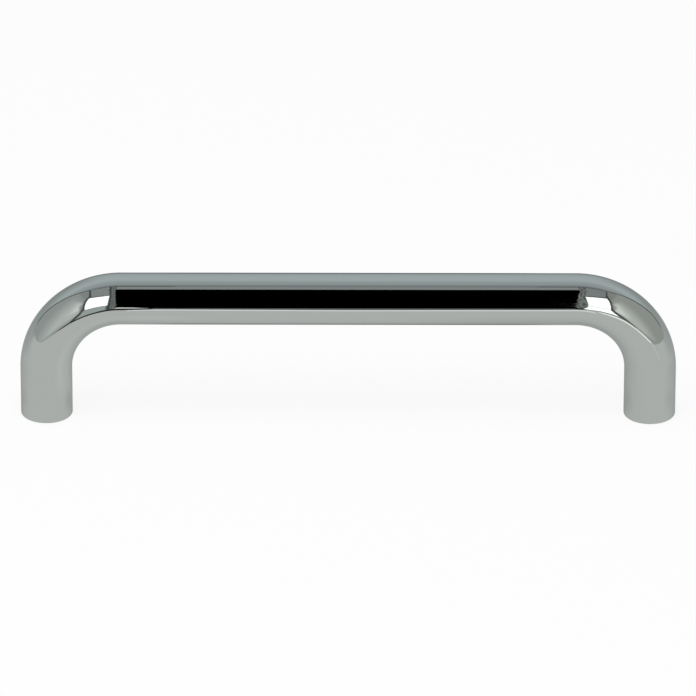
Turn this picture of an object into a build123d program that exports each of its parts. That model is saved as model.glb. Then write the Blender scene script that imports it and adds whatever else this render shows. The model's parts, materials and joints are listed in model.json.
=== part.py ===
from build123d import *
from math import radians, tan
import os

# Bow handle for a drawer or cabinet door: one chrome-plated casting of round section.
# A straight bar turns down through two bends into two legs, and each leg is tapped from its
# foot for the machine screw that comes through the furniture front.
# The feet stand on Z = 0, the bar runs along X, and the handle is centred on X = 0 and Y = 0.

hole_spacing = 128.0        # screw to screw along the bar, a multiple of 32
projection = 32.5           # mounting face to the outermost line of the bar
bar_diameter = 11.0
bend_radius = 16.0          # centre line of each bend
foot_edge_radius = 0.5      # rounded rim of each foot

tap_drill_diameter = 3.3    # core hole of an M4 thread
tap_drill_depth = 12.0      # full diameter, from the foot's face
drill_point_angle = 118.0   # cone that the drill leaves at the bottom
mouth_diameter = 4.4        # countersink that clears the thread's crest
mouth_angle = 90.0

leg_x = hole_spacing / 2
bar_axis_z = projection - bar_diameter / 2


def bow_bar():
    # Round section carried up one leg, through both bends and down the other leg.
    corners = [(-leg_x, 0, 0), (-leg_x, 0, bar_axis_z), (leg_x, 0, bar_axis_z), (leg_x, 0, 0)]
    with BuildPart() as bar:
        with BuildLine():
            FilletPolyline(*corners, radius=bend_radius)
        with BuildSketch(Plane(origin=corners[0], z_dir=(0, 0, 1))):
            Circle(bar_diameter / 2)
        sweep()
        foot_rims = bar.edges().filter_by(GeomType.CIRCLE).group_by(Axis.Z)[0]
        fillet(foot_rims, foot_edge_radius)
    return bar.part


def tapped_hole():
    # Core hole seen in half section: countersunk mouth, straight wall and drill point.
    core_radius = tap_drill_diameter / 2
    mouth_radius = mouth_diameter / 2
    mouth_depth = (mouth_radius - core_radius) / tan(radians(mouth_angle / 2))
    point_depth = core_radius / tan(radians(drill_point_angle / 2))
    with BuildPart() as hole:
        with BuildSketch(Plane.XZ):
            with BuildLine():
                Polyline(
                    (0, 0),
                    (mouth_radius, 0),
                    (core_radius, mouth_depth),
                    (core_radius, tap_drill_depth),
                    (0, tap_drill_depth + point_depth),
                    close=True,
                )
            make_face()
        revolve(axis=Axis.Z)
    return hole.part


handle = bow_bar()
for side in (-1, 1):
    handle -= Pos(side * leg_x, 0, 0) * tapped_hole()

os.makedirs("parts", exist_ok=True)
export_step(handle, "parts/bow_handle.step")
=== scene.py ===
import json
import math

import bpy
from mathutils import Matrix, Vector


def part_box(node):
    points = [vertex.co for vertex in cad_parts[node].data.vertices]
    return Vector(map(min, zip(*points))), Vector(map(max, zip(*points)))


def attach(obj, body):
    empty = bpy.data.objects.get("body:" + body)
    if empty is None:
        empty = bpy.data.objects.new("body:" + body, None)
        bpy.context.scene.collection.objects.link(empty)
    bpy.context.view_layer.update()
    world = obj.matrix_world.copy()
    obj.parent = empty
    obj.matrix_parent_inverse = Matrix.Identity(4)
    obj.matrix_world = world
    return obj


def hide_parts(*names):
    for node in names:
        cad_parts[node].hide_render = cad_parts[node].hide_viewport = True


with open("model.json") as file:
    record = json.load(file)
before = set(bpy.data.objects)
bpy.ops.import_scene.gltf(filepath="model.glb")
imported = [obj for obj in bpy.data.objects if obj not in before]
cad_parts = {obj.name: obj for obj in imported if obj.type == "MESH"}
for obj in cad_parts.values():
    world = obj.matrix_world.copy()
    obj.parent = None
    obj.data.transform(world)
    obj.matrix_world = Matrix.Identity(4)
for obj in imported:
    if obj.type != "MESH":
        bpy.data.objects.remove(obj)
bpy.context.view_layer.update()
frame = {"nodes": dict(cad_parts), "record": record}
scene = bpy.context.scene
print("frame:", sorted(frame["nodes"]))


class Wire:  # a node socket that takes part in Python sums, or with no socket the tree itself
    def __init__(self, tree, socket=None):
        self.tree = tree
        self.socket = socket

    def node(self, kind, settings=None, values=None, out=0):
        made = self.tree.nodes.new(kind)
        for name, setting in (settings or {}).items():
            setattr(made, name, setting)
        for key, value in (values or {}).items():
            if isinstance(value, Wire):
                self.tree.links.new(value.socket, made.inputs[key])
            else:
                made.inputs[key].default_value = value
        return Wire(self.tree, made.outputs[out] if len(made.outputs) else None)

    def math(self, operation, *values):
        return self.node("ShaderNodeMath", {"operation": operation}, dict(enumerate(values)))

    def __add__(self, other):
        return self.math("ADD", self, other)

    def __sub__(self, other):
        return self.math("SUBTRACT", self, other)

    def __mul__(self, other):
        return self.math("MULTIPLY", self, other)

    def __truediv__(self, other):
        return self.math("DIVIDE", self, other)

    def __rsub__(self, other):
        return self.math("SUBTRACT", other, self)

    def __rtruediv__(self, other):
        return self.math("DIVIDE", other, self)

    def __abs__(self):
        return self.math("ABSOLUTE", self)

    __radd__ = __add__
    __rmul__ = __mul__

    def sin(self):
        return self.math("SINE", self)

    def cos(self):
        return self.math("COSINE", self)

    def root(self):
        return self.math("SQRT", self)

    def fraction(self):  # what is left past the whole number
        return self.math("FRACT", self)

    def atLeast(self, other):
        return self.math("MAXIMUM", self, other)

    def clamp(self):  # held between 0 and 1
        return self.node("ShaderNodeClamp", values={"Value": self})

    def ease(self):  # held between 0 and 1, with a soft start and end
        return self.node("ShaderNodeMapRange", {"interpolation_type": "SMOOTHSTEP"}, {"Value": self})

    def axes(self):  # a vector's three numbers
        split = self.node("ShaderNodeSeparateXYZ", values={"Vector": self}).socket.node
        return [Wire(self.tree, socket) for socket in split.outputs]

    def distance(self, place):
        values = {0: self, 1: place}
        return self.node("ShaderNodeVectorMath", {"operation": "DISTANCE"}, values, out="Value")

    def noise(self, scale, detail):  # a cloudy number at this place
        values = {"Vector": self, "Scale": scale, "Detail": detail}
        return self.node("ShaderNodeTexNoise", values=values)

    def scaled(self, colour):  # this number times a colour
        return self.node("ShaderNodeVectorMath", {"operation": "SCALE"}, {0: colour, "Scale": self})

    def blend(self, first, second):  # colours mixed by this number, through the colour sockets
        values = {0: self, 6: first, 7: second}
        return self.node("ShaderNodeMix", {"data_type": "RGBA"}, values, out=2)


def newMaterial(name):
    material = bpy.data.materials.new(name)
    material.use_nodes = True
    material.node_tree.nodes.clear()
    return material, Wire(material.node_tree)


def addObject(name, data):
    obj = bpy.data.objects.new(name, data)
    scene.collection.objects.link(obj)
    return obj


# Chrome plate, with bare zinc where the thread was cut after plating.
chromeLook = {
    "plate": (0.6, 0.61, 0.61, 1),
    "edge": (0.66, 0.67, 0.67, 1),      # tint of the reflection near grazing
    "zinc": (0.36, 0.37, 0.39, 1),
    "polish": 0.03,                     # roughness of the buffed plate
    "haze": 0.02,                       # how much the buffing varies
    "hazeScale": 140,
    "hazeDetail": 3,
    "cutRough": 0.32,                   # roughness inside the tapped holes
    "wave": 8e-6,                       # metres of slow waviness left by hand buffing
    "waveScale": 85,
    "waveDetail": 1,
    "grain": 3e-7,                      # metres of buffing lines along the bar
    "grainScale": (120, 2600, 2600),
    "grainDetail": 2,
    "grainRough": 0.015,
}
noiseMiddle = 0.5                       # noise varies round this value

# The bow: driving sizes in metres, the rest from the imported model.
handleSize = {
    "Bend Radius": 0.016,
    "Foot Edge": 0.0005,
    "Mouth Radius": 0.0022,
    "Tap Depth": 0.012,
    "Thread Depth": 0.00035,
    "Thread Pitch": 0.0007,
    "Thread End": 0.0102,
}
handleRows = {                          # rows of faces along each stretch, and round the section
    "leg": 14, "bend": 96, "bar": 96,
    "rim": 8, "face": 3, "bore": 176, "tip": 4,
    "around": 96,
}
threadSlope = 1.6                       # over 1, so the zigzag of the thread gets a flat crest and root
drillPoint = math.radians(118)
creaseAngle = math.radians(32)          # edges that turn more than this stay sharp
weldGap = 2e-6                          # points this close are one point

boltHoles = next(m for m in frame["record"]["mounts"] if m["name"] == "screw_holes")
boxLow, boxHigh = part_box("bow_handle")
handleSize["Screw Spacing"] = boltHoles["dims"]["spacing_x_mm"] / 1000
handleSize["Core Radius"] = boltHoles["dims"]["hole_r_mm"] / 1000
handleSize["Bar Radius"] = (boxHigh.y - boxLow.y) / 2
handleSize["Projection"] = boxHigh.z
barAxisZ = handleSize["Projection"] - handleSize["Bar Radius"]
legX = handleSize["Screw Spacing"] / 2


def chromePlate():
    material, tree = newMaterial("chromePlate")
    look = chromeLook
    place = tree.node("ShaderNodeTexCoord", out="Object")
    x, y, z = place.axes()
    fromAxis = abs(x) - legX
    reach = (fromAxis * fromAxis + y * y).root()
    lip = handleSize["Foot Edge"] / 2
    inside = ((handleSize["Mouth Radius"] - reach) / lip).clamp()
    below = ((handleSize["Tap Depth"] + handleSize["Core Radius"] - z) / lip).clamp()
    cut = inside * below                # 1 inside the tapped holes
    cloud = place.noise(look["hazeScale"], look["hazeDetail"])
    lines = tree.node("ShaderNodeMapping", values={"Vector": place, "Scale": look["grainScale"]})
    grain = lines.noise(1, look["grainDetail"])
    wave = place.noise(look["waveScale"], look["waveDetail"])
    rough = look["polish"] + look["haze"] * 2 * (cloud - noiseMiddle)
    rough = rough + look["grainRough"] * (grain - noiseMiddle)
    rough = rough + cut * (look["cutRough"] - look["polish"])
    slow = tree.node("ShaderNodeBump", values={"Strength": 1, "Distance": look["wave"], "Height": wave})
    fine = {"Strength": 1, "Distance": look["grain"], "Height": grain, "Normal": slow}
    shader = tree.node("ShaderNodeBsdfPrincipled", values={
        "Base Color": cut.blend(look["plate"], look["zinc"]),
        "Metallic": 1,
        "Roughness": rough,
        "Specular Tint": look["edge"],
        "Normal": tree.node("ShaderNodeBump", values=fine),
    })
    tree.node("ShaderNodeOutputMaterial", values={"Surface": shader})
    return material


def handleTree(material):
    tree = bpy.data.node_groups.new("bowHandleShape", "GeometryNodeTree")
    tree.interface.new_socket("Geometry", in_out="OUTPUT", socket_type="NodeSocketGeometry")
    for name in handleSize:
        tree.interface.new_socket(name, in_out="INPUT", socket_type="NodeSocketFloat")
    shape = Wire(tree)
    given = shape.node("NodeGroupInput").socket.node
    size = {name: Wire(tree, given.outputs[name]) for name in handleSize}
    radius, bend, edge = size["Bar Radius"], size["Bend Radius"], size["Foot Edge"]
    half = size["Screw Spacing"] / 2
    axisZ = size["Projection"] - radius
    rows = handleRows

    def flatGrid(count):  # row number along it, angle across it
        values = {"Size X": 1, "Size Y": 1, "Vertices X": count + 1, "Vertices Y": rows["around"] + 1}
        grid = shape.node("GeometryNodeMeshGrid", values=values)
        u, v, _ = shape.node("GeometryNodeInputPosition").axes()
        return grid, (u + 0.5) * count, (v + 0.5) * math.tau

    def placed(grid, x, y, z):
        spot = shape.node("ShaderNodeCombineXYZ", values={0: x, 1: y, 2: z})
        return shape.node("GeometryNodeSetPosition", values={"Geometry": grid, "Position": spot})

    def stretches(row, *names):  # each stretch's own share, 0 before it and 1 past it
        start = 0
        for name in names:
            yield ((row - start) / rows[name]).clamp()
            start += rows[name]

    # Round section carried up a leg, through both bends and down the other leg.
    names = ("leg", "bend", "bar", "bend", "leg")
    grid, row, turn = flatGrid(sum(rows[name] for name in names))
    rise, firstBend, run, lastBend, fall = stretches(row, *names)
    first, last = firstBend * (math.pi / 2), lastBend * (math.pi / 2)
    legLength = axisZ - bend - edge
    pathX = bend * (1 - first.cos() + last.sin()) + run * (half - bend) * 2 - half
    pathZ = edge + (rise - fall) * legLength + bend * (first.sin() + last.cos() - 1)
    lean = first + last
    out = radius * turn.cos()
    bow = placed(grid, pathX - out * lean.cos(), radius * turn.sin(), pathZ + out * lean.sin())

    # Foot: rounded rim, flat face, countersunk mouth, right-hand thread and drill point.
    names = ("rim", "face", "bore", "tip")
    grid, row, turn = flatGrid(sum(rows[name] for name in names))
    rim, face, deep, point = stretches(row, *names)
    core, mouth, pitch = size["Core Radius"], size["Mouth Radius"], size["Thread Pitch"]
    rimTurn = rim * (math.pi / 2)
    depth = deep * size["Tap Depth"]
    groove = abs((depth / pitch + turn / math.tau).fraction() - 0.5) * 2
    runOut = ((size["Thread End"] - depth) / pitch).clamp()
    flank = (groove * threadSlope - (threadSlope - 1) / 2).clamp()
    wall = core + size["Thread Depth"] * flank * runOut
    wall = wall.atLeast(mouth - depth)
    ring = radius - edge + edge * rimTurn.cos() - face * (radius - edge - mouth) + wall - mouth
    ring = ring * (1 - point)
    level = edge * (1 - rimTurn.sin()) + depth + point * core / math.tan(drillPoint / 2)
    foot = placed(grid, 0 - ring * turn.cos(), ring * turn.sin(), level)
    foot = shape.node("GeometryNodeFlipFaces", values={"Mesh": foot})

    # One foot under each leg, the second turned half round.
    ends = {"Start Location": shape.node("ShaderNodeCombineXYZ", values={0: 0 - half})}
    ends["Offset"] = shape.node("ShaderNodeCombineXYZ", values={0: half * 2})
    spots = shape.node("GeometryNodeMeshLine", values={"Count": 2, **ends})
    number = shape.node("GeometryNodeInputIndex")
    spin = shape.node("ShaderNodeCombineXYZ", values={2: number * math.pi})
    feet = {"Points": spots, "Instance": foot, "Rotation": spin}
    feet = shape.node("GeometryNodeInstanceOnPoints", values=feet)
    both = shape.node("GeometryNodeJoinGeometry", values={0: bow})
    tree.links.new(feet.socket, both.socket.node.inputs[0])
    solid = shape.node("GeometryNodeRealizeInstances", values={"Geometry": both})
    solid = shape.node("GeometryNodeMergeByDistance", values={"Geometry": solid, "Distance": weldGap})
    smooth = shape.node("GeometryNodeSetShadeSmooth", values={"Geometry": solid, "Shade Smooth": True})
    corner = shape.node("GeometryNodeInputMeshEdgeAngle")
    sharp = corner.math("GREATER_THAN", corner, creaseAngle)
    creased = {"Geometry": smooth, "Selection": sharp, "Shade Smooth": False}
    creased = shape.node("GeometryNodeSetShadeSmooth", {"domain": "EDGE"}, creased)
    plated = shape.node("GeometryNodeSetMaterial", values={"Geometry": creased, "Material": material})
    shape.node("NodeGroupOutput", values={"Geometry": plated})
    return tree


def makeHandle():
    obj = addObject("bowHandle", bpy.data.meshes.new("bowHandle"))
    shaper = obj.modifiers.new("shape", "NODES")
    shaper.node_group = handleTree(chromePlate())
    for item in shaper.node_group.interface.items_tree:
        if item.in_out == "INPUT":
            shaper[item.identifier] = handleSize[item.name]
    graph = bpy.context.evaluated_depsgraph_get()
    mesh = bpy.data.meshes.new_from_object(obj.evaluated_get(graph), depsgraph=graph)
    obj.modifiers.clear()
    obj.data = mesh
    return obj


bowHandle = makeHandle()
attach(bowHandle, "root")
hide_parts("bow_handle")
bowHandle.data.calc_loop_triangles()
counts = (len(bowHandle.data.vertices), len(bowHandle.data.loop_triangles))
print("handle: %d points, %d triangles" % counts)

# White surround: what the camera, a mirror or a glass sees of it is white at strength 1.
surround = {"floorHalf": 4.0, "floorDrop": 5e-5, "paper": 0.8, "shadowShare": 0.12, "ambient": 0.45}


def seenDirectly(tree):
    path = tree.node("ShaderNodeLightPath").socket.node
    names = ("Is Camera Ray", "Is Glossy Ray", "Is Transmission Ray")
    camera, glossy, through = [Wire(tree.tree, path.outputs[name]) for name in names]
    return (camera + glossy + through).clamp()


def whiteFloor():
    material, tree = newMaterial("whiteFloor")
    paper = tree.node("ShaderNodeBsdfDiffuse", values={"Color": (surround["paper"],) * 3 + (1,)})
    white = tree.node("ShaderNodeEmission", values={"Color": (1, 1, 1, 1), "Strength": 1})
    share = seenDirectly(tree) * (1 - surround["shadowShare"])
    mixed = tree.node("ShaderNodeMixShader", values={0: share, 1: paper, 2: white})
    tree.node("ShaderNodeOutputMaterial", values={"Surface": mixed})
    reach, level = surround["floorHalf"], -surround["floorDrop"]
    ways = ((-1, -1), (1, -1), (1, 1), (-1, 1))
    corners = [(x * reach, y * reach, level) for x, y in ways]
    mesh = bpy.data.meshes.new("floor")
    mesh.from_pydata(corners, [], [(0, 1, 2, 3)])
    mesh.materials.append(material)
    addObject("floor", mesh)


def whiteWorld():
    world = bpy.data.worlds.new("studio")
    scene.world = world
    world.use_nodes = True
    world.node_tree.nodes.clear()
    tree = Wire(world.node_tree)
    seen = seenDirectly(tree)
    level = seen + (1 - seen) * surround["ambient"]
    sky = tree.node("ShaderNodeBackground", values={"Color": level.scaled((1, 1, 1))})
    tree.node("ShaderNodeOutputWorld", values={"Surface": sky})


whiteFloor()
whiteWorld()
print("surround: floor and world")

# Soft lamp above and a little in front, for the floor and the shadow.
softLamp = {"size": 0.9, "watts": 11.0, "spot": (-0.15, -0.35, 1.1)}
lampData = bpy.data.lights.new("softLamp", "AREA")
lampData.size = softLamp["size"]
lampData.energy = softLamp["watts"]
lamp = addObject("softLamp", lampData)
lamp.location = softLamp["spot"]
lamp.rotation_euler = (-lamp.location).to_track_quat("-Z", "Y").to_euler()
lamp.visible_glossy = False             # the light tent is what the chrome mirrors

# Light tent round the handle, which only mirrored rays see: a paper sweep that it stands on, side
# walls, a top, and front flaps either side of the dark opening that the camera looks through. Each is
# a glowing sheet with painted light and shade, so what the chrome mirrors of it is a painted
# reflection.
lift = 1e-5                             # one sheet lies this far above the next on the floor
paperLayer = 9


def sheet(name, rows, paint):  # quads between rows of points, u across and v along
    wide, last = len(rows[0]), len(rows) - 1
    starts = [r * wide + k for r in range(last) for k in range(wide - 1)]
    mesh = bpy.data.meshes.new(name)
    mesh.from_pydata([tuple(point) for row in rows for point in row], [],
                     [(k, k + 1, k + wide + 1, k + wide) for k in starts])
    spread = mesh.uv_layers.new(name="spread")
    for loop in mesh.loops:
        row, column = divmod(loop.vertex_index, wide)
        spread.data[loop.index].uv = (column / (wide - 1), row / last)
    mesh.materials.append(paint)
    obj = addObject(name, mesh)
    obj.visible_camera = False
    obj.visible_diffuse = False
    obj.visible_shadow = False


def glowing(tree, tone):
    glow = tree.node("ShaderNodeEmission", values={"Color": tone, "Strength": 1})
    tree.node("ShaderNodeOutputMaterial", values={"Surface": glow})


def plainPaint(name, tone):
    material, tree = newMaterial(name)
    glowing(tree, (*tone, 1))
    return material


def ramp(value, ends):  # 0 at the first end, 1 at the second
    return ((value - ends[0]) / (ends[1] - ends[0])).ease()


paperSweep = {
    "half": 0.39,                       # width either side of the middle
    "bendY": 0.06,                      # where it starts to rise behind the handle
    "bendRadius": 0.11,
    "bendSteps": 24,
    "leanAngle": math.radians(114),     # past upright, so it leans over the handle
    "leanSteps": 8,
    "top": 0.73,
    "floorSteps": 6,
    "curlFrom": 0.2,                    # its sides curl up from here outwards
    "curl": {-1: 0.04, 1: 0.017},
    "curlRun": (-0.15, 0.03),           # from flat at the front to the full curl
    "curlTop": 0.1,
    "edgeWidth": 0.026,                 # dark line of painted shade along its side and top edges
    "edgeThin": 0.03,                   # share of that width on the floor
    "edgeRows": (14, 18),               # rows between which the line widens
    "edgeTop": 0.045,                   # the top edge shows dark from here outwards
    "front": [                          # its front edge on the floor, from left to right
        (-0.39, -0.123), (-0.268, -0.139), (-0.178, -0.13), (-0.141, -0.132), (-0.107, -0.117),
        (-0.085, -0.096), (-0.072, -0.084), (-0.061, -0.069), (-0.054, -0.058), (-0.049, -0.057),
        (-0.042, -0.07), (0, -0.063), (0.043, -0.07), (0.054, -0.082), (0.063, -0.096),
        (0.072, -0.114), (0.08, -0.13), (0.09, -0.146), (0.1, -0.158), (0.112, -0.16),
        (0.128, -0.153), (0.142, -0.14), (0.153, -0.11), (0.191, -0.109), (0.299, -0.122),
        (0.39, -0.05),
    ],
}
# Painted light and shade on the paper sweep: lightest on the floor, darker up the back and darkest at
# the top, with painted shade in the fold, along the foot of the rise, behind the bar and beside the
# legs.
paperLook = {
    "floor": (0.65, 0.68, 0.655, 1),
    "back": (0.54, 0.61, 0.61, 1),
    "upper": (0.42, 0.47, 0.47, 1),
    "top": (0.27, 0.3, 0.3, 1),
    "fold": (0.425, 0.47, 0.455, 1),    # in the shade where its outer parts start to rise
    "edge": (0.07, 0.08, 0.075),
    "backFrom": (0.0, 0.05),            # heights between which floor tone turns to back tone
    "upperFrom": (0.23, 0.38),
    "topFrom": (0.45, 0.62),
    "foldSide": (0.075, 0.15),
    "foldBack": (-0.03, 0.05),
    "foldZ": 0.07,
    "foldHalf": 0.155,
    "riseShadeBack": (0.08, 0.12),            # painted shade along the foot of the rise behind the bar
    "riseShadeZ": (0.065, 0.045),
    "riseShadeDepth": 0.35,
    "band": (0.006, 0.014),             # soft shade on the paper behind the bar starts here
    "bandDepth": 0.45,
    "bandSide": (0.046, 0.034),
    "spots": [                          # x, y, radius and depth of the painted shade beside the legs; a negative depth paints light
        (0.039, 0.005, 0.033, 0.1),
        (0.052, 0.001, 0.009, 0.1),
        (0.078, -0.002, 0.009, 0.09),
        (0.094, 0.003, 0.022, 0.07),
        (-0.052, 0.001, 0.008, 0.14),
        (-0.077, 0.001, 0.008, 0.09),
        (-0.094, 0.004, 0.02, 0.06),
        (-0.042, -0.014, 0.012, -0.07),
    ],
}


def sweepPaint():
    material, tree = newMaterial("paperSweep")
    look = paperLook
    place = tree.node("ShaderNodeTexCoord", out="Object")
    x, y, z = place.axes()
    raised = ramp(z, look["backFrom"])
    outer = ramp(abs(x), look["foldSide"])
    folded = outer * ramp(y, look["foldBack"])
    folded = folded * (1 - abs(z - look["foldZ"]) / look["foldHalf"]).ease()
    riseShade = (1 - outer) * ramp(y, look["riseShadeBack"]) * ramp(z, look["riseShadeZ"])
    tone = raised.blend(look["floor"], look["back"])
    for name in ("upper", "top"):
        tone = ramp(z, look[name + "From"]).blend(tone, look[name])
    tone = folded.blend(tone, look["fold"])
    band = ramp(y, look["band"]) * ramp(abs(x), look["bandSide"]) * (1 - raised)
    light = 1 - look["bandDepth"] * band - look["riseShadeDepth"] * riseShade
    for spotX, spotY, radius, depth in look["spots"]:
        light = light - depth * (1 - place.distance((spotX, spotY, 0)) / radius).ease()
    glowing(tree, light.scaled(tone))
    return material


def paperRows():  # points across the sweep, row by row from its front edge over the back to its top
    size = paperSweep
    lean, bend = size["leanAngle"], size["bendRadius"]
    turns = [lean * k / size["bendSteps"] for k in range(size["bendSteps"] + 1)]
    profile = [(size["bendY"] + bend * math.sin(turn), bend * (1 - math.cos(turn))) for turn in turns]
    endY, endZ = profile[-1]
    rise = (size["top"] - endZ) / size["leanSteps"]
    for k in range(1, size["leanSteps"] + 1):
        profile.append((endY + k * rise / math.tan(lean), endZ + k * rise))

    def point(x, y, z):
        outwards = max(0, (abs(x) - size["curlFrom"]) / (size["half"] - size["curlFrom"]))
        start, end = size["curlRun"]
        backwards = min(1, max(0, (y - start) / (end - start)))
        upwards = max(0, 1 - z / size["curlTop"])
        curl = size["curl"][1 if x > 0 else -1] * outwards * backwards * upwards
        return x, y, z + curl + paperLayer * lift

    rows = []
    for k in range(size["floorSteps"]):
        share = k / size["floorSteps"]
        rows.append([point(x, y + (size["bendY"] - y) * share, 0) for x, y in size["front"]])
    return rows + [[point(x, y, z) for x, _ in size["front"]] for y, z in profile]


def makePaper():
    size = paperSweep
    rows = paperRows()
    sheet("paperSweep", rows, sweepPaint())
    edge = plainPaint("paperEdge", paperLook["edge"])
    wide, (start, end) = size["edgeWidth"], size["edgeRows"]
    for side, column in ((-1, 0), (1, -1)):
        rim = [Vector(row[column]) for row in rows]
        neighbours = zip(rim[:1] + rim, rim[1:] + rim[-1:])
        ahead = [(later - sooner).normalized() for sooner, later in neighbours]
        shares = [min(1, max(size["edgeThin"], (k - start) / (end - start))) for k in range(len(rim))]
        across = [share * wide * Vector((0, -way.z, way.y)) for way, share in zip(ahead, shares)]
        inner = [point + step for point, step in zip(rim, across)]
        sheet("paperEdge", [rim, inner], edge)
        top = [Vector(point) for point in rows[-1] if point[0] * side > size["edgeTop"]]
        sheet("paperTopEdge", [top, [point - Vector((0, wide, 0)) for point in top]], edge)


makePaper()
print("paper: sweep and edges")

# Thin things along the front edge of the paper. Each point has its x, its nearer y and its farther y.
paperTrim = {
    "rim": {                            # painted highlight along the cut edge
        "tone": (1.0, 1.03, 1.0), "layer": paperLayer + 1,
        "line": [
            (-0.048, -0.059, -0.05), (-0.042, -0.068, -0.055), (0, -0.063, -0.05),
            (0.043, -0.068, -0.054), (0.054, -0.068, -0.055),
        ],
    },
    # brighter painted highlight along the right cut edge
    "rimRight": {
        "tone": (1.3, 1.33, 1.3), "layer": paperLayer + 1,
        "line": [
            (0.058, -0.086, -0.074), (0.063, -0.096, -0.082), (0.072, -0.114, -0.098),
            (0.08, -0.13, -0.108), (0.09, -0.146, -0.114), (0.1, -0.158, -0.115),
            (0.112, -0.16, -0.112), (0.128, -0.153, -0.098), (0.142, -0.14, -0.104),
            (0.153, -0.11, -0.109),
        ],
    },
    "crease": {                         # faint painted highlight on from there
        "tone": (0.8, 0.83, 0.8), "layer": paperLayer + 1,
        "line": [
            (0.142, -0.1, -0.09), (0.125, -0.078, -0.07), (0.112, -0.055, -0.049),
            (0.103, -0.04, -0.036),
        ],
    },
    "gap": {                            # painted shadow under the left edge
        "tone": (0.03, 0.035, 0.03), "layer": paperLayer - 1,
        "line": [
            (-0.046, -0.072, -0.06), (-0.05, -0.083, -0.045), (-0.059, -0.08, -0.05),
            (-0.069, -0.093, -0.06), (-0.081, -0.109, -0.07), (-0.098, -0.121, -0.09),
            (-0.13, -0.134, -0.1), (-0.16, -0.133, -0.12),
        ],
    },
    # weaker painted shadow under the right edge
    "gapRight": {
        "tone": (0.36, 0.38, 0.36), "layer": paperLayer - 1,
        "line": [
            (0.054, -0.1, -0.07), (0.057, -0.097, -0.08), (0.065, -0.122, -0.09),
            (0.07, -0.134, -0.1), (0.081, -0.161, -0.12), (0.094, -0.194, -0.14),
            (0.101, -0.205, -0.15), (0.118, -0.25, -0.15),
        ],
    },
    "dim": {                            # painted shade on the floor just in front of the paper
        "tone": (0.165, 0.175, 0.17), "layer": paperLayer - 2,
        "line": [
            (-0.043, -0.09, -0.06), (0.05, -0.096, -0.06),
        ],
    },
    "sliver": {                         # bright patch at the left end of that floor
        "tone": (0.95, 0.98, 0.95), "layer": paperLayer - 2,
        "line": [
            (-0.0525, -0.114, -0.084), (-0.048, -0.112, -0.085), (-0.0455, -0.096, -0.086),
            (-0.0435, -0.089, -0.088),
        ],
    },
}


def makeTrim():
    for name, look in paperTrim.items():
        height = look["layer"] * lift
        near = [(x, nearY, height) for x, nearY, _ in look["line"]]
        far = [(x, farY, height) for x, _, farY in look["line"]]
        sheet(name, [near, far], plainPaint(name, look["tone"]))


makeTrim()
print("paper: trim")

# The side walls glow with painted light and shade: lighter towards the front low down, dimmer high up,
# a painted shade beside each flap and a painted band of light beyond it.
tentWalls = {
    "x": 0.42,
    "front": -0.75,
    "back": 0.35,
    "top": 0.95,
    "returnX": 0.15,                    # the front corner turns in as far as this
    "tint": {-1: (0.95, 1.03, 0.98), 1: (0.97, 1.02, 0.95)},
    "rear": {-1: 0.44, 1: 0.43},        # how light it is beside the paper
    "fore": {-1: 0.68, 1: 0.66},
    "run": {-1: (-0.05, -0.43), 1: (-0.16, -0.46)},     # y between which rear turns to fore
    "high": (0.36, 0.47),               # heights between which that evens out
    "upper": (0.48, 0.54),
    "upperDim": 0.09,
    "seamAt": {-1: 0.095, 1: 0.08},     # shade beside the flap: how far round the corner it starts
    "seamRise": 0.58,                   # and how much farther for each metre up
    "seamSoft": (0.03, 0.17),
    "softFrom": (0.22, 0.36),
    "seamDim": 0.5,
    "seamHigh": 0.4,                    # share of that shade which is left high up
    "glow": {-1: 0.25, 1: 0.29},        # and the light band beyond it
    "glowAt": 0.08,
    "glowRun": 0.25,
    "glowFrom": {-1: (0.07, 0.23), 1: (0.03, 0.16)},
}
# Painted shade on the top: darker towards the back, lighter towards the front.
tentTop = {
    "z": 0.78,
    "back": -0.085,
    "front": {-1: -0.326, 1: -0.306},
    "backTone": (0.27, 0.3, 0.295, 1),
    "frontTone": (0.345, 0.375, 0.365, 1),
    "run": (-0.1, -0.2),
}
darkRoom = {                            # what shows through the opening, and the cloth on its floor
    "half": 0.6,
    "front": -0.95,
    "back": 0.5,
    "top": 2.4,
    "clothNear": 0.055,
    "clothFar": 0.1,
    "clothLayer": 2,
}


def wallPaint(side):
    material, tree = newMaterial("sideWall")
    look = tentWalls
    x, y, z = tree.node("ShaderNodeTexCoord", out="Object").axes()
    start, end = look["run"][side]
    forward = ((y - start) / (end - start)).clamp()
    low = 1 - ramp(z, look["high"])
    level = look["rear"][side] + (look["fore"][side] - look["rear"][side]) * forward * low
    level = level - look["upperDim"] * ramp(z, look["upper"])
    corner = abs(x) - look["returnX"] + y - look["front"]   # how far round the corner from the flap
    past = corner - look["seamAt"][side] - look["seamRise"] * z
    band = (1 - (past - look["glowAt"]) / look["glowRun"]).clamp()
    level = level + look["glow"][side] * band * low * ramp(z, look["glowFrom"][side])
    sharp, widening = look["seamSoft"]
    shade = (1 - past / (sharp + widening * ramp(z, look["softFrom"]))).ease()
    level = level - look["seamDim"] * shade * (look["seamHigh"] + (1 - look["seamHigh"]) * low)
    glowing(tree, level.atLeast(0).scaled(look["tint"][side]))
    return material


def topPaint():
    material, tree = newMaterial("tentTop")
    y = tree.node("ShaderNodeTexCoord", out="Object").axes()[1]
    glowing(tree, ramp(y, tentTop["run"]).blend(tentTop["backTone"], tentTop["frontTone"]))
    return material


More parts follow.
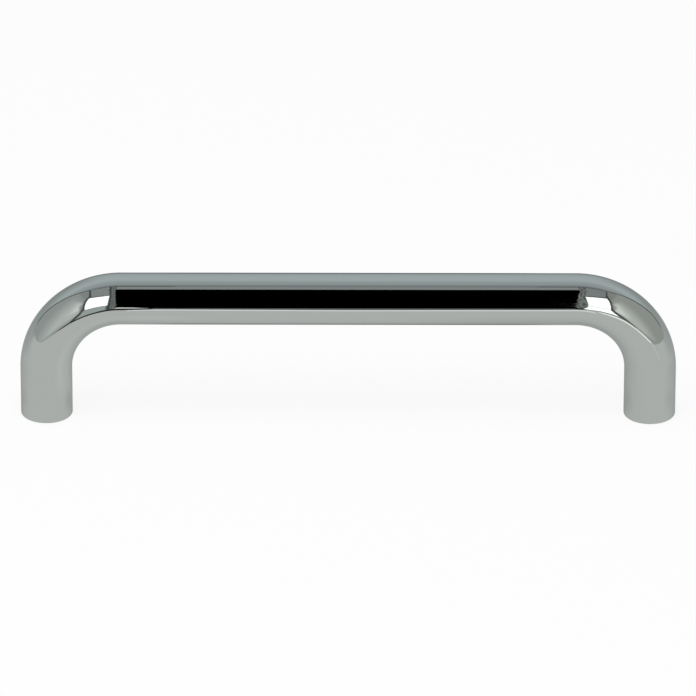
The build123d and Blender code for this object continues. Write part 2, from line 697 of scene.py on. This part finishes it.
def makeWalls():
    wide, front, back, top = (tentWalls[name] for name in ("x", "front", "back", "top"))
    for side in (-1, 1):
        paint = wallPaint(side)
        corners = [(side * wide, back), (side * wide, front), (side * tentWalls["returnX"], front)]
        sheet("sideWall", [[(x, y, 0) for x, y in corners], [(x, y, top) for x, y in corners]], paint)
        inner = side * darkRoom["clothNear"] / 2
        sheet("sideFloor", [[(inner, front, lift), (side * wide, front, lift)],
                            [(inner, back, lift), (side * wide, back, lift)]], paint)
    level = tentTop["z"]
    sheet("tentTop", [[(side * wide, tentTop["back"], level) for side in (-1, 1)],
                      [(side * wide, tentTop["front"][side], level) for side in (-1, 1)]], topPaint())


def makeDarkRoom():
    black = plainPaint("darkRoom", (0, 0, 0))
    half, front, back, top = (darkRoom[name] for name in ("half", "front", "back", "top"))
    profile = [(front, 0), (front, top), (back, top)]
    sheet("darkRoom", [[(-half, y, z), (half, y, z)] for y, z in profile], black)
    near, far = darkRoom["clothNear"], darkRoom["clothFar"]
    level = darkRoom["clothLayer"] * lift
    sheet("blackCloth", [[(-near, -near, level), (near, -near, level)],
                         [(-far, front, level), (far, front, level)]], black)


makeWalls()
makeDarkRoom()
print("tent: walls, top and dark room")

# Front flaps, by bearings from the bend on their side: degrees outwards from straight ahead, then
# degrees up. Each pair is an inner and an outer bearing.
frontFlaps = {
    "from": (0.0555, -0.005, 0.028),    # where on a bend the bearings start
    "reach": 0.64,
    "gap": 0.012,                       # one flap hangs this far in front of the next
    "steps": 10,
    "across": 6,
    "tones": {
        "white": (1.9, 1.95, 1.9),      # the lit part
        "seam": (0.1, 0.11, 0.1),       # painted shade in the gap along its outer side
        "skirt": (0.475, 0.535, 0.505),     # below the lit part, on the left, in painted shade
        "lip": (0.12, 0.13, 0.12),      # dark line along its upper edge
        "rippleShade": (1.2, 1.24, 1.2),     # duller band of painted shade across it, on the right
    },
    "shadeTone": {-1: (0.33, 0.365, 0.355), 1: (0.295, 0.32, 0.315)},      # above the lit part
    "layers": {"seam": 2, "shade": 3, "skirt": 3, "white": 4, "lip": 4, "rippleShade": 5, "ragged": 5},
}
flapBearings = {
    -1: {
        "ragged": [
            ((-4.8, -26), (-1, -22)), ((-2.5, -18), (0.7, -17)), ((-0.4, -11), (2.8, -11)),
            ((0.9, -6.4), (4.2, -6.2)), ((1.8, -2.2), (5.1, -2.4)), ((2.2, 2), (5.6, 3)),
            ((3.2, 19), (7.9, 20)), ((5.3, 40), (11.3, 41)), ((8.4, 58), (19, 59)),
            ((13.4, 72), (34, 72)), ((21, 80), (58, 78)),
        ],
        "white": [
            ((5.2, -0.6), (15.3, 2.7)), ((6.3, 9), (18.3, 9.2)), ((7.6, 18), (23, 19)),
            ((9.2, 30), (29, 31)), ((10.8, 39), (33.7, 40.5)),
        ],
        "lip": [
            ((16.5, 39.4), (33.7, 40.5)), ((17.5, 43), (35.5, 43.8)),
        ],
        "shade": [
            ((10.8, 39), (33.7, 40.5)), ((12.5, 45), (35, 45)), ((15, 51), (40.5, 49.7)),
            ((20, 60), (51, 56)), ((32, 69), (61.6, 59.9)), ((52, 77.5), (76, 62.8)),
        ],
        "skirt": [
            ((-4, -34), (7, -30)), ((-1, -22), (11.5, -17)), ((2, -13), (11.8, -12)),
            ((3.8, -7), (12.5, -8)), ((5.2, -0.6), (15.4, 1.3)),
        ],
        "seam": [
            ((8, -17), (14.5, -16)), ((8, -13), (15.2, -13)), ((8, -5), (16.1, -5)),
            ((9, 3), (17.4, 3.4)), ((13, 11), (21.1, 11.2)), ((19, 24), (27.6, 24)),
            ((26, 35.6), (34.5, 35.6)), ((32, 46), (40.1, 46)), ((37, 50.5), (45.6, 50.5)),
            ((47, 56), (57, 56.2)), ((58, 59.5), (68.5, 59.5)), ((70, 62), (81, 61.3)),
        ],
    },
    1: {
        "ragged": [
            ((-2.8, -15.3), (0.2, -13.2)), ((-0.8, -8), (2.8, -7.3)), ((0.5, -3.4), (4.4, -3)),
            ((0.7, 0), (4.9, 0)), ((0.7, 8), (6.2, 9)), ((1.5, 25.5), (7.8, 25)),
            ((2.6, 43), (9.8, 41)), ((7.7, 61), (17, 60)), ((8.6, 70.5), (27, 70.5)),
            ((15.5, 81), (46, 78)),
        ],
        "white": [
            ((-2, -24), (10, -14)), ((-0.5, -14.6), (14.4, -7)), ((4.6, -2.2), (14.5, -1.8)),
            ((5.2, 4), (15.4, 4.3)), ((6.6, 15), (20.6, 15)), ((7.8, 23.4), (24.4, 23)),
            ((9.3, 37.5), (34.6, 41.9)),
        ],
        "lip": [
            ((11, 37.8), (34.6, 41.9)), ((12.4, 41.6), (36.5, 45)),
        ],
        "rippleShade": [
            ((4.9, -3.4), (5.6, 0.6)), ((6.4, -2.6), (7.2, 1.2)), ((8.2, -1.3), (9, 2)),
            ((10.7, 0.6), (11.6, 3.4)), ((15.9, 8), (17, 10.8)),
        ],
        "shade": [
            ((9.3, 37.5), (34.6, 41.9)), ((11, 44), (36, 45.5)), ((13, 51), (42, 50.3)),
            ((15.3, 57.6), (52.5, 56.2)), ((27, 68), (65, 60.5)), ((42, 76.7), (73, 62)),
        ],
        "seam": [
            ((22, -11), (25, -7.5)), ((17, -11), (21.4, -2.8)), ((15.5, -7), (19.3, 1.5)),
            ((12, 3), (18.6, 5)), ((15, 10), (20, 10.6)), ((23, 26), (27.9, 26.2)),
            ((32, 41), (38, 41)), ((34, 47), (42.8, 47)), ((42, 53), (50.2, 53)),
            ((52, 57), (59.7, 57)), ((66, 61), (72, 60.2)),
        ],
    },
}
raggedLook = {                          # the torn inner edge of each flap: -1 is left and 1 is right
    "scale": {-1: (5, 1.2, 1), 1: (4, 9, 1)},
    "detail": 3,
    "levels": {-1: (0.15, 0.27), 1: (0.1, 0.31)},
    "range": (0.36, 0.62),
    "bite": {-1: 0.15, 1: 0.6},         # how unevenly its inner edge is torn
    "biteSoft": 0.12,
    "stripe": {-1: 0.8, 1: 0.2},        # dark line along its outer edge
    "stripeAt": {-1: 0.75, 1: 0.86},
    "stripeHalf": 0.2,
    "tint": (0.95, 1.05, 0.97),
}


def raggedPaint(side):
    material, tree = newMaterial("raggedEdge")
    look = raggedLook
    place = tree.node("ShaderNodeTexCoord", out="UV")
    across = place.axes()[0]
    lines = tree.node("ShaderNodeMapping", values={"Vector": place, "Scale": look["scale"][side]})
    flecks = lines.noise(1, look["detail"])
    low, high = look["range"]
    dark, light = look["levels"][side]
    level = ((flecks - low) / (high - low)).clamp() * (light - dark) + dark
    stripe = (1 - abs(across - look["stripeAt"][side]) / look["stripeHalf"]).ease()
    torn = ((across + look["bite"][side] * (flecks - noiseMiddle)) / look["biteSoft"]).clamp()
    level = level * (1 - look["stripe"][side] * stripe) * torn
    glowing(tree, level.scaled(look["tint"]))
    return material


def towards(side, bearing, layer):  # where that bearing meets the flaps, or the floor before them
    azimuth, elevation = (math.radians(angle) for angle in bearing)
    startX, startY, startZ = frontFlaps["from"]
    flat = math.cos(elevation)
    way = Vector((side * math.sin(azimuth) * flat, -math.cos(azimuth) * flat, math.sin(elevation)))
    reach = frontFlaps["reach"] - frontFlaps["gap"] * layer
    if way.z < 0:
        reach = min(reach, (startZ - lift * layer) / -way.z)
    return Vector((side * startX, startY, startZ)) + way * reach


def flapRows(side, bearings, layer):
    steps, across = frontFlaps["steps"], frontFlaps["across"]
    pairs = [[Vector(bearing) for bearing in pair] for pair in bearings]
    lines = []
    for lower, upper in zip(pairs, pairs[1:]):
        lines += [[a.lerp(b, k / steps) for a, b in zip(lower, upper)] for k in range(steps)]
    lines.append(pairs[-1])
    return [[towards(side, inner.lerp(outer, k / across), layer) for k in range(across + 1)]
            for inner, outer in lines]


def makeFlaps():
    paints = {name: plainPaint(name + "Flap", tone) for name, tone in frontFlaps["tones"].items()}
    for side, pieces in flapBearings.items():
        paints["ragged"] = raggedPaint(side)
        paints["shade"] = plainPaint("shadeFlap", frontFlaps["shadeTone"][side])
        for name, bearings in pieces.items():
            sheet(name + "Flap", flapRows(side, bearings, frontFlaps["layers"][name]), paints[name])


makeFlaps()
print("tent: front flaps")

# Camera fitted to the photograph.
viewpoint = {
    "distance": 2.0,
    "height": 26.71,                    # degrees above level
    "roll": 0.089,                      # degrees
    "focal": 9438,                      # pixels
    "aimPixel": (348.2, 355.9),         # where the point that it looks at falls
}
imageSize = 696                         # pixels
cameraData = bpy.data.cameras.new("camera")
cameraData.lens = viewpoint["focal"] * cameraData.sensor_width / imageSize
cameraData.shift_x = (imageSize / 2 - viewpoint["aimPixel"][0]) / imageSize
cameraData.shift_y = (viewpoint["aimPixel"][1] - imageSize / 2) / imageSize
camera = addObject("camera", cameraData)
height = math.radians(viewpoint["height"])
aim = Vector((0, 0, barAxisZ / 2))
stand = aim + viewpoint["distance"] * Vector((0, -math.cos(height), math.sin(height)))
tilt = Matrix.Rotation(math.pi / 2 - height, 4, "X")
roll = Matrix.Rotation(math.radians(viewpoint["roll"]), 4, "Z")
camera.matrix_world = Matrix.Translation(stand) @ tilt @ roll
scene.camera = camera
scene.view_settings.view_transform = "Standard"
